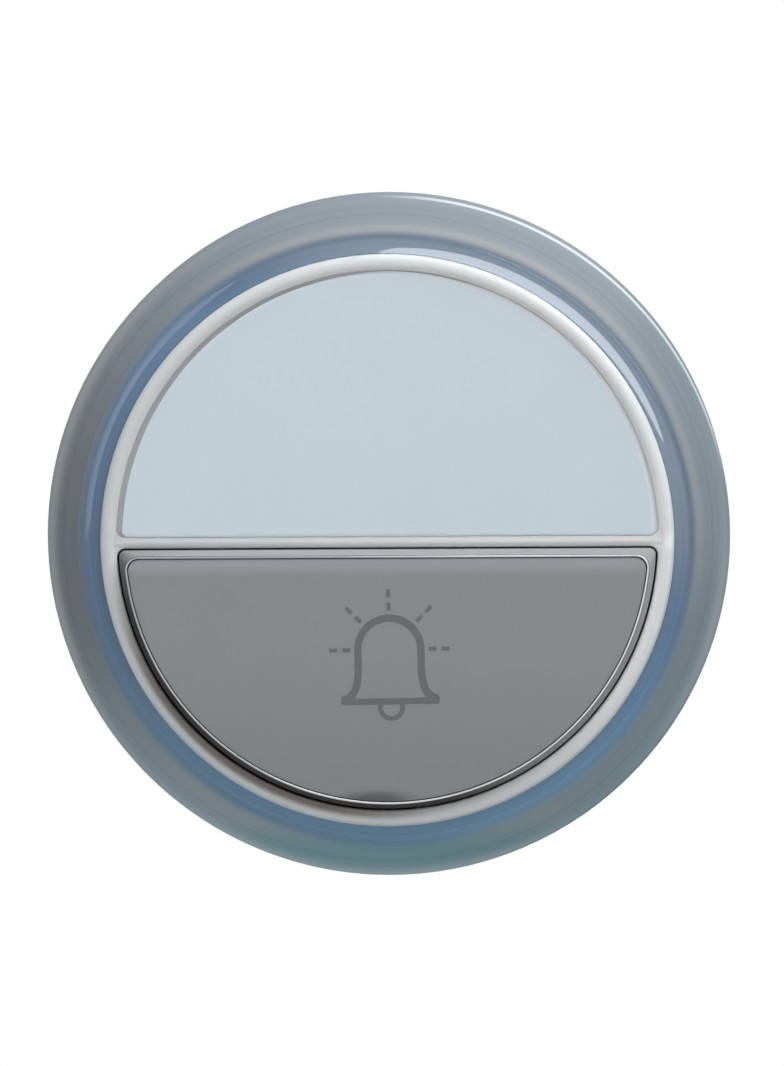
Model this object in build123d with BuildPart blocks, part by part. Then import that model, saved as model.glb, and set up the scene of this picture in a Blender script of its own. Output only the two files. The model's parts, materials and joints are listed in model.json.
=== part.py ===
from build123d import *
from math import cos, degrees, radians, sin, sqrt
import os

# Round wireless bell push for a wall. +Z is up, the wall is the plane Y = 0, the front faces -Y.
# The origin is the middle of the wall plate's rear face. Depths count from the wall to the front.

# Nested shells, from outside in
outer_radius = 40.0
ring_wall = 1.8
shell_gap = 0.2  # room between one shell and the next
chassis_wall = 1.6
skirt_wall = 1.4
board_gap = 0.4
moulding_wall = 1.2

# Front view, from outside in
ring_width = 6.6
ring_gap = 0.05
cove_width = 2.4
bezel_rim = 1.9
bridge_width = 1.26
bridge_drop = 0.1  # middle of the bar below the middle of the push
button_gap = 0.25
button_top_gap = 0.2
button_corner = 0.75
border_width = 0.6
bead_width = 0.3
insert_gap = 0.08
insert_corner = 1.3
window_gap = 0.08
window_corner = 0.9

# Depth stack, from the wall forwards
plate_thickness = 2.0
ring_stand_off = 0.6
cell_room = 0.3
clip_sheet = 0.4
cell_height = 3.2
contact_sheet = 0.3
board_thickness = 1.2
switch_height = 3.5
plunger_rise = 1.0
well_over_switch = 0.3
well_depth = 1.4
floor_gap = 0.4
bearing_wall = 0.9
running_gap = 0.35
cap_wall = 1.0
face_thickness = 0.8
bead_rise = 0.15
border_fall = 1.2
button_rise = 1.1
crown_rise = 0.1
crown_shoulder = 0.45
window_rise = 0.1
window_thickness = 0.75
label_gap = 0.03
label_thickness = 0.3

# Halo ring
crest_drop = 1.75  # crest behind the bezel's front
cove_rise = 0.55  # the cove climbs this much from the crest to the bezel
ring_fall = 4.2  # from the crest back to where brow and side wall would meet
rim_round = 4.0
crest_round = 1.5
ring_seat = 1.2
cone_fall = 2.2

# Bezel
crown_land = 0.05
bar_crown = 0.07
opening_round = 0.25
shoulder_round = 0.3
flange_height = 1.0
flange_cover = 0.2
leg_room = 0.6
leg_wall = 0.8
leg_width = 5.0
leg_gap = 0.1
leg_hook = 1.3
barb_reach = 0.45
leg_angles = (30, 150, 210, 330)

# Window and label
window_flange = 0.75
flange_sheet = 0.25
flange_gap = 0.06
window_round = 0.08
tray_margin = 0.3  # the tray reaches this far behind the bezel
label_inset = 0.5  # the card is this much smaller than its tray
label_side_gap = 0.05  # the card lies low and to the right in its tray
label_corner = 0.8

# Push button and its pivot
trunnion_radius = 1.0
trunnion_reach = 2.6
pivot_gap = 0.06
lug_rim = 0.7
lug_thickness = 2.2
lug_place = 19.0
bearing_width = 3.0
side_gap = 0.3
press_angle = 2.0
button_skirt_gap = 1.8
button_wall = 1.2
bead_round = 0.12
rib_wall = 1.0
rib_height = 1.2
rib_place = 10.0
post_radius = 2.0
tab_reach = 0.75
tab_width = 5.0
tab_height = 0.6
tab_gap = 0.1
tab_angles = (250, 290)

# Switch and its rubber boot
switch_size = 6.0
switch_drop = 13.0
frame_sheet = 0.3
frame_tab_width = 2.0
frame_tab_drop = 1.4
switch_leg_width = 0.7
switch_leg_reach = 1.4
switch_leg_sheet = 0.25
switch_leg_pitch = 4.5
plunger_radius = 1.7
plunger_flange = 0.5
plunger_flange_height = 0.6
plunger_gap = 0.1
plunger_travel = 0.3
plunger_chamfer = 0.2
contact_gap = 0.05
boot_nub = 1.0
boot_nub_radius = 2.2
boot_web = 0.35
boot_flange = 2.2
boot_sheet = 0.6
hole_margin = 0.45

# Board and what is on it
boss_radius = 2.2
boss_inset = 4.6
boss_angles = (40, 140, 270)
boss_floor = 0.2
screw_radius = 1.0
screw_room = 0.15
screw_head_radius = 1.9
screw_head_height = 1.3
screw_length = 3.6
screw_slot = 0.6
screw_head_rim = 0.57  # left round the cross in the head
thread_gap = 0.03
led_count = 6
led_length = 3.0
led_width = 1.4
led_height = 1.1
led_lens = 0.5
led_inset = 1.6
light_slot_width = 0.8
light_slot_length = 6.0
chip_length = 6.2
chip_width = 4.0
chip_height = 1.5
chip_side = 8.0
chip_rise = 9.0
chip_leg_reach = 1.0
chip_leg_width = 0.45
chip_leg_height = 0.6
chip_leg_pitch = 1.27
chip_leg_count = 4
crystal_length = 10.8
crystal_width = 4.4
crystal_height = 3.2
crystal_rim = 0.35
crystal_rim_height = 0.5
crystal_round = 0.6
crystal_side = 8.5
antenna_gap = 1.2
antenna_wire = 0.4
antenna_rise = 2.0
antenna_arc = 120.0
passive_length = 2.0
passive_width = 1.25
passive_height = 0.6
passive_pitch = 3.6
passive_columns = 5
passive_rows = 2
passive_rise = 17.5

# Coin cell and contacts
cell_radius = 10.0
cell_rise = 11.0
cell_cap_inset = 1.1
cell_cap_height = 0.5
cell_round = 0.25
strap_width = 7.0
strap_gap = 0.4
strap_foot = 2.4
contact_length = 14.0
contact_width = 5.0

# Wall plate
plate_inset = 0.2
plate_chamfer = 0.4
skirt_height = 3.4
groove_offset = 0.9
groove_width = 1.5
groove_depth = 0.7
seal_gap = 0.03
seal_round = 0.3
tongue_width = 8.0
tongue_height = 5.8
tongue_barb = 1.1
tongue_reach = 0.55
tongue_angles = (90, 210, 330)
pocket_gap = 0.15
screw_spacing = 50.0
wall_slot_length = 7.0
wall_slot_width = 4.2
slot_sink = 0.8
slot_rim = 1.8
pry_width = 7.0
pry_height = 1.2

# Radii worked out from the shells
ring_inner = outer_radius - ring_wall
chassis_radius = ring_inner - shell_gap
chassis_bore = chassis_radius - chassis_wall
skirt_radius = chassis_bore - shell_gap
skirt_bore = skirt_radius - skirt_wall
board_radius = skirt_bore - board_gap
plate_radius = chassis_radius - plate_inset
bezel_radius = outer_radius - ring_width
ring_bore = bezel_radius + ring_gap
crest_radius = bezel_radius + cove_width
opening_radius = bezel_radius - bezel_rim
button_radius = opening_radius - button_gap
bead_radius = button_radius - border_width
insert_radius = bead_radius - bead_width
tub_radius = opening_radius + moulding_wall
leg_inner = tub_radius + leg_room
leg_outer = leg_inner + leg_wall
flange_radius = leg_outer + flange_cover
ring_step = flange_radius + shell_gap
deck_radius = ring_step + ring_seat
window_seat = opening_radius + window_flange
tray_radius = opening_radius + tray_margin
label_radius = tray_radius - label_inset
tab_radius = button_radius + tab_reach
boss_place = board_radius - boss_inset
antenna_radius = boss_place - boss_radius - antenna_gap
bead_corner = insert_corner + bead_width
opening_corner = button_corner + button_gap

# Depths worked out from the stack
clip_rear = plate_thickness + cell_room
cell_rear = clip_rear + clip_sheet
cell_front = cell_rear + cell_height
board_rear = cell_front + contact_sheet
board_front = board_rear + board_thickness
switch_front = board_front + switch_height
frame_rear = switch_front - frame_sheet
plunger_front = switch_front + plunger_rise
well_front = switch_front + well_over_switch
well_rear = well_front - moulding_wall
deck_front = well_front + well_depth
deck_rear = deck_front - moulding_wall
lug_radius = trunnion_radius + lug_rim
hinge_depth = well_front + floor_gap + lug_radius
bearing_radius = trunnion_radius + pivot_gap + bearing_wall
cap_under = hinge_depth + bearing_radius + running_gap
insert_seat = cap_under + cap_wall
face_front = insert_seat + face_thickness
bead_front = face_front + bead_rise
border_edge = face_front - border_fall
bezel_front = face_front - button_rise
bezel_flat = bezel_front - crown_rise
bezel_side = bezel_front - crown_shoulder
bezel_step = deck_front + flange_height
window_front = bezel_flat + window_rise
window_rear = window_front - window_thickness
label_rear = window_rear - label_gap - label_thickness
tray_under = label_rear - moulding_wall
ring_crest = bezel_front - crest_drop
ring_rim = ring_crest - ring_fall
ring_cone = deck_front - cone_fall
button_rear = well_front + button_skirt_gap
tab_front = button_rear + tab_height
nub_rear = plunger_front + contact_gap
nub_front = nub_rear + boot_nub
post_rear = nub_front + contact_gap
groove_rear = plate_thickness + groove_offset
tongue_front = plate_thickness + tongue_height
barb_rear = tongue_front - tongue_barb

# Heights beside the bar, and what hangs from them
bridge_top = bridge_width / 2 - bridge_drop
bridge_bottom = -bridge_width / 2 - bridge_drop
window_seat_edge = bridge_top - window_flange
button_top = bridge_bottom - button_top_gap
bead_top = button_top - border_width
insert_top = bead_top - bead_width
hinge_height = button_top - button_wall - running_gap - bearing_radius
bearing_place = lug_place + lug_thickness / 2 + side_gap + bearing_width / 2
tab_travel = radians(press_angle) * (button_radius + hinge_height)

# Switch and boot
switch_hole = switch_size / sqrt(2) + hole_margin
boot_inner = switch_hole + boot_web
boot_outer = boot_inner + boot_flange
plunger_rear = frame_rear - plunger_gap - plunger_flange_height

hair = 0.001  # closer than this counts as the same depth

os.makedirs("parts", exist_ok=True)


def radial_section(angle):
    """Plane through the push's axis at an angle in the front view: radius across, depth up."""
    turn = radians(angle)
    return Plane(origin=(0, 0, 0), x_dir=(cos(turn), 0, sin(turn)), z_dir=(sin(turn), 0, -cos(turn)))


def side_section(height):
    """Plane at a height above the middle: width across, depth up."""
    return Plane(origin=(0, 0, height), x_dir=(1, 0, 0), z_dir=(0, 0, -1))


def front_plane(depth):
    """Plane parallel to the wall: width across, height up, facing the visitor."""
    return Plane.XZ.offset(depth)


def side_plane(width):
    """Plane across the push: the wall's direction across, height up."""
    return Plane.YZ.offset(width)


def on_circle(radius, angle):
    """Point of a circle in the front view."""
    return (radius * cos(radians(angle)), radius * sin(radians(angle)))


def arc_for(width, radius):
    """Angle that a width takes up on a circle."""
    return degrees(width / radius)


def edges_at(piece, depth):
    """Edges whose ends all lie in the plane at a depth."""
    return piece.edges().filter_by(lambda edge: all(abs(v.Y + depth) < hair for v in edge.vertices()))


def half_disc(radius, edge, corner, side):
    """Disc cut straight at a height: side 1 keeps what is above the edge, -1 what is below."""
    with BuildSketch(Plane.XY) as outline:
        Circle(radius)
        with Locations((0, edge - side * radius)):
            Rectangle(2 * radius, 2 * radius, mode=Mode.SUBTRACT)
        levels = outline.vertices().group_by(Axis.Y)
        fillet(levels[0] if side > 0 else levels[-1], corner)
    return outline.sketch


def block(inner, outer, rear, front):
    """Rectangle in a section plane, between two radii and two depths."""
    with BuildSketch(Plane.XY) as outline:
        with Locations(((inner + outer) / 2, (rear + front) / 2)):
            Rectangle(outer - inner, front - rear)
    return outline.sketch


boss_points = [on_circle(boss_place, angle) for angle in boss_angles]
section = side_section(0)

# Halo ring: side wall, sloping brow, crest and the cove beside the bezel
with BuildPart() as halo_ring:
    cove_start = (ring_bore, ring_crest + cove_rise)
    crest = (crest_radius, ring_crest)
    with BuildSketch(section):
        with BuildLine():
            TangentArc(crest, cove_start, tangent=(-1, 0))
            Polyline(
                crest,
                (outer_radius, ring_rim),
                (outer_radius, ring_stand_off),
                (ring_inner, ring_stand_off),
                (ring_inner, ring_cone),
                (deck_radius + shell_gap, deck_front),
                (ring_step, deck_front),
                (ring_step, bezel_step + flange_gap),
                (ring_bore, bezel_step + flange_gap),
                cove_start,
            )
        make_face()
    revolve(axis=Axis.Y)
    fillet(edges_at(halo_ring, ring_rim), rim_round)
    fillet(edges_at(halo_ring, ring_crest), crest_round)
    # Notch for a screwdriver at the bottom of the rear edge
    with BuildSketch(front_plane(ring_stand_off)):
        with Locations((0, -outer_radius)):
            Rectangle(pry_width, 2 * (ring_wall + shell_gap))
    extrude(amount=pry_height, mode=Mode.SUBTRACT)
halo_ring.part.label = "halo_ring"
export_step(halo_ring.part, "parts/halo_ring.step")

# Front bezel: crowned rim, bar between the two openings, snap legs behind
with BuildPart() as front_bezel:
    crown_inner = opening_radius + opening_round + crown_land
    with BuildSketch(section):
        with BuildLine():
            ThreePointArc(
                (bezel_radius, bezel_side),
                (bezel_radius - bezel_rim / 2, bezel_front),
                (crown_inner, bezel_flat),
            )
            Polyline(
                (crown_inner, bezel_flat),
                (0, bezel_flat),
                (0, deck_front),
                (flange_radius, deck_front),
                (flange_radius, bezel_step),
                (bezel_radius, bezel_step),
                (bezel_radius, bezel_side),
            )
        make_face()
    revolve(axis=Axis.Y)
    with BuildSketch(front_plane(deck_front)):
        add(half_disc(opening_radius, bridge_top, window_corner + window_gap, 1))
        add(half_disc(opening_radius, bridge_bottom, opening_corner, -1))
    extrude(amount=bezel_front - deck_front, mode=Mode.SUBTRACT)
    fillet(edges_at(front_bezel, bezel_flat).filter_by(lambda edge: not edge.is_closed), opening_round)
    fillet(edges_at(front_bezel, bezel_side), shoulder_round)
    # The bar is crowned as well
    bar_half = bridge_width / 2 - opening_round
    bar_ends = [(-bezel_flat, side * bar_half - bridge_drop) for side in (-1, 1)]
    with BuildSketch(side_plane(0)):
        with BuildLine():
            ThreePointArc(bar_ends[0], (-bezel_flat - bar_crown, -bridge_drop), bar_ends[1])
            Polyline(
                bar_ends[1],
                (-bezel_side, bar_half - bridge_drop),
                (-bezel_side, -bar_half - bridge_drop),
                bar_ends[0],
            )
        make_face()
    extrude(amount=bezel_radius - bezel_rim / 2, both=True)
    # Room behind the rim for the window's flange
    with BuildSketch(front_plane(deck_front)):
        add(half_disc(window_seat + flange_gap, window_seat_edge - flange_gap, window_corner, 1))
    extrude(amount=window_rear + flange_sheet + flange_gap - deck_front, mode=Mode.SUBTRACT)
    # Ledges that keep the button's tabs from coming forwards
    tab_pocket_arc = arc_for(tab_width + 2 * side_gap, tab_radius)
    for angle in tab_angles:
        with BuildSketch(radial_section(angle + tab_pocket_arc / 2)):
            add(block(button_radius, tab_radius + shell_gap, deck_front, tab_front + tab_gap))
        revolve(axis=Axis.Y, revolution_arc=tab_pocket_arc, mode=Mode.SUBTRACT)
    leg_arc = arc_for(leg_width, leg_outer)
    for angle in leg_angles:
        with BuildSketch(radial_section(angle + leg_arc / 2)):
            with BuildLine():
                Polyline(
                    (leg_inner, deck_front + flange_height / 2),
                    (leg_outer, deck_front + flange_height / 2),
                    (leg_outer, deck_rear - contact_gap),
                    (leg_outer + barb_reach, deck_rear - contact_gap),
                    (leg_outer, deck_rear - leg_hook),
                    (leg_inner, deck_rear - leg_hook),
                    close=True,
                )
            make_face()
        revolve(axis=Axis.Y, revolution_arc=leg_arc)
front_bezel.part.label = "front_bezel"
export_step(front_bezel.part, "parts/front_bezel.step")

# Clear window with a flange that lies behind the bezel
with BuildPart() as label_window:
    with BuildSketch(front_plane(window_rear)):
        add(half_disc(opening_radius - window_gap, bridge_top + window_gap, window_corner, 1))
    extrude(amount=window_thickness)
    fillet(label_window.faces().sort_by(Axis.Y)[0].edges(), window_round)
    with BuildSketch(front_plane(window_rear)):
        add(half_disc(window_seat, window_seat_edge, window_corner, 1))
    extrude(amount=flange_sheet)
label_window.part.label = "label_window"
export_step(label_window.part, "parts/label_window.step")

# Name card in the chassis tray
with BuildPart() as name_label:
    with BuildSketch(front_plane(label_rear)):
        with Locations((label_inset - label_side_gap, 0)):
            add(half_disc(label_radius, bridge_top + label_side_gap, label_corner, 1))
    extrude(amount=label_thickness)
name_label.part.label = "name_label"
export_step(name_label.part, "parts/name_label.step")

# Push button: hollow cap with sloped border, raised bead, pivot lugs and a post over the switch
with BuildPart() as button_cap:
    with BuildSketch(front_plane(button_rear)):
        add(half_disc(button_radius, button_top, button_corner, -1))
    extrude(amount=border_edge - button_rear)
    with BuildSketch(front_plane(border_edge)):
        add(half_disc(button_radius, button_top, button_corner, -1))
    with BuildSketch(front_plane(face_front)):
        add(half_disc(bead_radius, bead_top, bead_corner, -1))
    loft(ruled=True)
    with BuildSketch(front_plane(border_edge)):
        add(half_disc(bead_radius, bead_top, bead_corner, -1))
    extrude(amount=bead_front - border_edge)
    with BuildSketch(front_plane(insert_seat)):
        add(half_disc(insert_radius, insert_top, insert_corner, -1))
    extrude(amount=bead_front - insert_seat, mode=Mode.SUBTRACT)
    fillet(button_cap.faces().sort_by(Axis.Y)[0].edges(), bead_round)
    with BuildSketch(front_plane(button_rear)):
        add(half_disc(button_radius - button_wall, button_top - button_wall, insert_corner, -1))
    extrude(amount=cap_under - button_rear, mode=Mode.SUBTRACT)
    # Ribs behind the face
    with BuildSketch(front_plane(cap_under - rib_height)):
        with Locations((-rib_place, -switch_drop), (rib_place, -switch_drop)):
            Rectangle(rib_wall, 2 * button_radius)
        with Locations((0, -switch_drop)):
            Rectangle(2 * button_radius, rib_wall)
        add(
            half_disc(button_radius - button_wall / 2, button_top - button_wall / 2, insert_corner, -1),
            mode=Mode.INTERSECT,
        )
    extrude(amount=rib_height + cap_wall / 2)
    for side in (-1, 1):
        with BuildSketch(side_plane(side * lug_place)):
            with Locations((-hinge_depth, hinge_height)):
                Circle(lug_radius)
            with Locations((-(hinge_depth + insert_seat - cap_wall / 2) / 2, hinge_height)):
                Rectangle(insert_seat - cap_wall / 2 - hinge_depth, 2 * lug_radius)
        extrude(amount=lug_thickness / 2, both=True)
        with BuildSketch(side_plane(side * lug_place)):
            with Locations((-hinge_depth, hinge_height)):
                Circle(trunnion_radius)
        extrude(amount=side * (lug_thickness / 2 + trunnion_reach))
    with BuildSketch(front_plane(post_rear)):
        with Locations((0, -switch_drop)):
            Circle(post_radius)
    extrude(amount=cap_under + cap_wall / 2 - post_rear)
    tab_arc = arc_for(tab_width, tab_radius)
    for angle in tab_angles:
        with BuildSketch(radial_section(angle + tab_arc / 2)):
            add(block(button_radius - button_wall / 2, tab_radius, button_rear, tab_front))
        revolve(axis=Axis.Y, revolution_arc=tab_arc)
button_cap.part.label = "button_cap"
export_step(button_cap.part, "parts/button_cap.step")

# Printed insert that fills the push button's frame
with BuildPart() as button_face:
    with BuildSketch(front_plane(insert_seat)):
        add(half_disc(insert_radius - insert_gap, insert_top - insert_gap, insert_corner, -1))
    extrude(amount=face_thickness)
button_face.part.label = "button_face"
export_step(button_face.part, "parts/button_face.step")

# Chassis: side skirt, front deck, button well with pivot bearings, label tray, board bosses
with BuildPart() as chassis:
    cone_run = chassis_radius - deck_radius
    deck_inner = deck_radius - chassis_wall + cone_run * moulding_wall / cone_fall
    with BuildSketch(section):
        with BuildLine():
            Polyline(
                (0, deck_front),
                (deck_radius, deck_front),
                (chassis_radius, ring_cone),
                (chassis_radius, plate_thickness),
                (chassis_bore, plate_thickness),
                (chassis_bore, ring_cone),
                (deck_inner, deck_rear),
                (0, deck_rear),
                close=True,
            )
        make_face()
    revolve(axis=Axis.Y)
    # Button well
    with BuildSketch(front_plane(well_rear)):
        add(half_disc(tub_radius, bridge_bottom + moulding_wall, opening_corner + moulding_wall, -1))
    extrude(amount=deck_front - well_rear)
    with BuildSketch(front_plane(well_front)):
        add(half_disc(opening_radius, bridge_bottom, opening_corner, -1))
    extrude(amount=deck_front - well_front, mode=Mode.SUBTRACT)
    # Raised label tray, hollow behind
    with BuildSketch(front_plane(deck_front)):
        add(half_disc(window_seat, window_seat_edge, window_corner, 1))
    extrude(amount=window_rear - deck_front)
    with BuildSketch(front_plane(label_rear)):
        add(half_disc(tray_radius, bridge_top, label_corner, 1))
    extrude(amount=window_rear - label_rear, mode=Mode.SUBTRACT)
    with BuildSketch(front_plane(deck_rear)):
        add(half_disc(window_seat - moulding_wall, bridge_bottom + 2 * moulding_wall, window_corner, 1))
    extrude(amount=tray_under - deck_rear, mode=Mode.SUBTRACT)
    # Pivot bearings
    for side in (-1, 1):
        with BuildSketch(side_plane(side * bearing_place)):
            with Locations((-hinge_depth, hinge_height)):
                Circle(bearing_radius)
            with Locations((-(well_front - moulding_wall / 2 + hinge_depth) / 2, hinge_height)):
                Rectangle(hinge_depth - well_front + moulding_wall / 2, 2 * bearing_radius)
            with Locations((-hinge_depth, hinge_height)):
                Circle(trunnion_radius + pivot_gap, mode=Mode.SUBTRACT)
        extrude(amount=bearing_width / 2, both=True)
    # Hole for the switch, and pockets in the well's wall where the button's tabs travel
    with BuildSketch(front_plane(well_rear)):
        with Locations((0, -switch_drop)):
            Circle(switch_hole)
    extrude(amount=moulding_wall, mode=Mode.SUBTRACT)
    for angle in tab_angles:
        with BuildSketch(radial_section(angle + tab_pocket_arc / 2)):
            add(
                block(
                    button_radius,
                    tab_radius + shell_gap,
                    button_rear - tab_travel - floor_gap,
                    deck_front,
                )
            )
        revolve(axis=Axis.Y, revolution_arc=tab_pocket_arc, mode=Mode.SUBTRACT)
    # Slots for the bezel's legs, and light slots below the halo ring
    leg_slot_arc = arc_for(leg_width + 2 * leg_gap, leg_outer)
    for angle in leg_angles:
        with BuildSketch(radial_section(angle + leg_slot_arc / 2)):
            add(block(tub_radius + contact_gap, leg_outer + leg_gap, deck_rear, deck_front))
        revolve(axis=Axis.Y, revolution_arc=leg_slot_arc, mode=Mode.SUBTRACT)
    light_slot_inner = ring_step + (ring_seat - light_slot_width) / 2
    light_slot_outer = light_slot_inner + light_slot_width
    light_slot_arc = arc_for(light_slot_length, light_slot_outer)
    for number in range(led_count):
        angle = 360 * number / led_count
        with BuildSketch(radial_section(angle + light_slot_arc / 2)):
            add(block(light_slot_inner, light_slot_outer, ring_cone, deck_front))
        revolve(axis=Axis.Y, revolution_arc=light_slot_arc, mode=Mode.SUBTRACT)
    # Pockets in the skirt where the wall plate's tongues snap in
    tongue_pocket_arc = arc_for(tongue_width + 2 * pocket_gap, skirt_radius)
    tongue_pocket = skirt_radius + tongue_reach + pocket_gap
    for angle in tongue_angles:
        with BuildSketch(radial_section(angle + tongue_pocket_arc / 2)):
            add(block(skirt_radius, tongue_pocket, barb_rear - pocket_gap, tongue_front + pocket_gap))
        revolve(axis=Axis.Y, revolution_arc=tongue_pocket_arc, mode=Mode.SUBTRACT)
    # Board bosses, with the upper two reaching the tray
    for point in boss_points:
        boss_front = tray_under if point[1] > bridge_top else well_rear
        with BuildSketch(front_plane(board_front)):
            with Locations(point):
                Circle(boss_radius)
        extrude(amount=boss_front + moulding_wall / 2 - board_front)
    with BuildSketch(front_plane(board_front)):
        with Locations(*boss_points):
            Circle(screw_radius + thread_gap)
    extrude(amount=screw_length - board_thickness + boss_floor, mode=Mode.SUBTRACT)
chassis.part.label = "chassis"
export_step(chassis.part, "parts/chassis.step")

# Wall plate: disc with screw slots, skirt with a seal groove, and three snap tongues
with BuildPart() as back_plate:
    with BuildSketch(section):
        with BuildLine():
            Polyline(
                (0, 0),
                (plate_radius - plate_chamfer, 0),
                (plate_radius, plate_chamfer),
                (plate_radius, plate_thickness),
                (skirt_radius, plate_thickness),
                (skirt_radius, groove_rear),
                (skirt_radius - groove_depth, groove_rear),
                (skirt_radius - groove_depth, groove_rear + groove_width),
                (skirt_radius, groove_rear + groove_width),
                (skirt_radius, plate_thickness + skirt_height),
                (skirt_bore, plate_thickness + skirt_height),
                (skirt_bore, plate_thickness),
                (0, plate_thickness),
                close=True,
            )
        make_face()
    revolve(axis=Axis.Y)
    tongue_arc = arc_for(tongue_width, skirt_radius)
    for angle in tongue_angles:
        with BuildSketch(radial_section(angle + tongue_arc / 2)):
            with BuildLine():
                Polyline(
                    (skirt_bore, plate_thickness + skirt_height),
                    (skirt_radius, plate_thickness + skirt_height),
                    (skirt_radius, barb_rear),
                    (skirt_radius + tongue_reach, barb_rear),
                    (skirt_radius, tongue_front),
                    (skirt_bore, tongue_front),
                    close=True,
                )
            make_face()
        revolve(axis=Axis.Y, revolution_arc=tongue_arc)
    slot_points = ((-screw_spacing / 2, 0), (screw_spacing / 2, 0))
    with BuildSketch(front_plane(0)):
        with Locations(*slot_points):
            SlotOverall(wall_slot_length, wall_slot_width)
    extrude(amount=plate_thickness, mode=Mode.SUBTRACT)
    with BuildSketch(front_plane(plate_thickness - slot_sink)):
        with Locations(*slot_points):
            SlotOverall(wall_slot_length + 2 * slot_rim, wall_slot_width + 2 * slot_rim)
    extrude(amount=slot_sink, mode=Mode.SUBTRACT)
    # Notch for a screwdriver at the bottom edge
    with BuildSketch(front_plane(0)):
        with Locations((0, -plate_radius)):
            Rectangle(pry_width, 2 * (plate_radius - skirt_radius))
    extrude(amount=pry_height, mode=Mode.SUBTRACT)
back_plate.part.label = "back_plate"
export_step(back_plate.part, "parts/back_plate.step")

# Rubber seal in the wall plate's groove
with BuildPart() as rim_seal:
    with BuildSketch(section) as seal_outline:
        add(
            block(
                skirt_radius - groove_depth + seal_gap,
                chassis_bore - seal_gap,
                groove_rear + seal_gap,
                groove_rear + groove_width - seal_gap,
            )
        )
        fillet(seal_outline.vertices(), seal_round)
    revolve(axis=Axis.Y)
rim_seal.part.label = "rim_seal"
export_step(rim_seal.part, "parts/rim_seal.step")

# Rubber boot that covers the switch and seals the well
with BuildPart() as switch_seal:
    with BuildSketch(side_section(-switch_drop)):
        with BuildLine():
            Polyline(
                (0, nub_rear),
                (boot_nub_radius, nub_rear),
                (boot_inner, well_front),
                (boot_outer, well_front),
                (boot_outer, well_front + boot_sheet),
                (boot_inner + boot_web, well_front + boot_sheet),
                (boot_nub_radius + boot_web, nub_front),
                (0, nub_front),
                close=True,
            )
        make_face()
    revolve(axis=Axis((0, 0, -switch_drop), (0, 1, 0)))
switch_seal.part.label = "switch_seal"
export_step(switch_seal.part, "parts/switch_seal.step")

# Circuit board
with BuildPart() as circuit_board:
    with BuildSketch(front_plane(board_rear)):
        Circle(board_radius)
        with Locations(*boss_points):
            Circle(screw_radius + screw_room, mode=Mode.SUBTRACT)
    extrude(amount=board_thickness)
circuit_board.part.label = "circuit_board"
export_step(circuit_board.part, "parts/circuit_board.step")

# Switch base with the well that the plunger drops into
with BuildPart() as switch_base:
    with BuildSketch(front_plane(board_front)):
        with Locations((0, -switch_drop)):
            Rectangle(switch_size, switch_size)
    extrude(amount=frame_rear - board_front)
    with BuildSketch(front_plane(plunger_rear - plunger_travel - plunger_gap)):
        with Locations((0, -switch_drop)):
            Circle(plunger_radius + plunger_flange + plunger_gap)
    extrude(amount=frame_rear - plunger_rear + plunger_travel + plunger_gap, mode=Mode.SUBTRACT)
switch_base.part.label = "switch_base"
export_step(switch_base.part, "parts/switch_base.step")

# Pressed steel cover of the switch, with two side tabs
with BuildPart() as switch_frame:
    with BuildSketch(front_plane(frame_rear)):
        with Locations((0, -switch_drop)):
            Rectangle(switch_size, switch_size + 2 * frame_sheet)
            Circle(plunger_radius + plunger_gap, mode=Mode.SUBTRACT)
    extrude(amount=frame_sheet)
    with BuildSketch(front_plane(frame_rear - frame_tab_drop)):
        tab_offset = (switch_size + frame_sheet) / 2
        with Locations((0, -switch_drop - tab_offset), (0, -switch_drop + tab_offset)):
            Rectangle(frame_tab_width, frame_sheet)
    extrude(amount=frame_tab_drop)
switch_frame.part.label = "switch_frame"
export_step(switch_frame.part, "parts/switch_frame.step")

# Plunger that the boot pushes
with BuildPart() as switch_plunger:
    with BuildSketch(front_plane(plunger_rear)):
        with Locations((0, -switch_drop)):
            Circle(plunger_radius + plunger_flange)
    extrude(amount=plunger_flange_height)
    with BuildSketch(front_plane(plunger_rear)):
        with Locations((0, -switch_drop)):
            Circle(plunger_radius)
    extrude(amount=plunger_front - plunger_rear)
    chamfer(switch_plunger.faces().sort_by(Axis.Y)[0].edges(), plunger_chamfer)
switch_plunger.part.label = "switch_plunger"
export_step(switch_plunger.part, "parts/switch_plunger.step")

# Four solder legs of the switch
with BuildPart() as switch_legs:
    leg_offset = (switch_size + switch_leg_reach) / 2
    with BuildSketch(front_plane(board_front)):
        with Locations((0, -switch_drop)):
            with GridLocations(2 * leg_offset, switch_leg_pitch, 2, 2):
                Rectangle(switch_leg_reach, switch_leg_width)
    extrude(amount=switch_leg_sheet)
switch_legs.part.label = "switch_legs"
export_step(switch_legs.part, "parts/switch_legs.step")

# LEDs round the edge of the board
with BuildPart() as halo_leds:
    with BuildSketch(front_plane(board_front)):
        with PolarLocations(board_radius - led_inset, led_count):
            Rectangle(led_width, led_length)
    extrude(amount=led_height)
    with BuildSketch(front_plane(board_front + led_height)):
        with PolarLocations(board_radius - led_inset, led_count):
            Circle(led_lens)
    extrude(amount=led_lens / 2)
halo_leds.part.label = "halo_leds"
export_step(halo_leds.part, "parts/halo_leds.step")

# Radio chip with its legs
with BuildPart() as radio_chip:
    with BuildSketch(front_plane(board_front)):
        with Locations((-chip_side, chip_rise)):
            Rectangle(chip_length, chip_width)
    extrude(amount=chip_height)
    with BuildSketch(front_plane(board_front)):
        with Locations((-chip_side, chip_rise)):
            with GridLocations(chip_leg_pitch, chip_width + chip_leg_reach, chip_leg_count, 2):
                Rectangle(chip_leg_width, chip_leg_reach)
    extrude(amount=chip_leg_height)
radio_chip.part.label = "radio_chip"
export_step(radio_chip.part, "parts/radio_chip.step")

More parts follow.
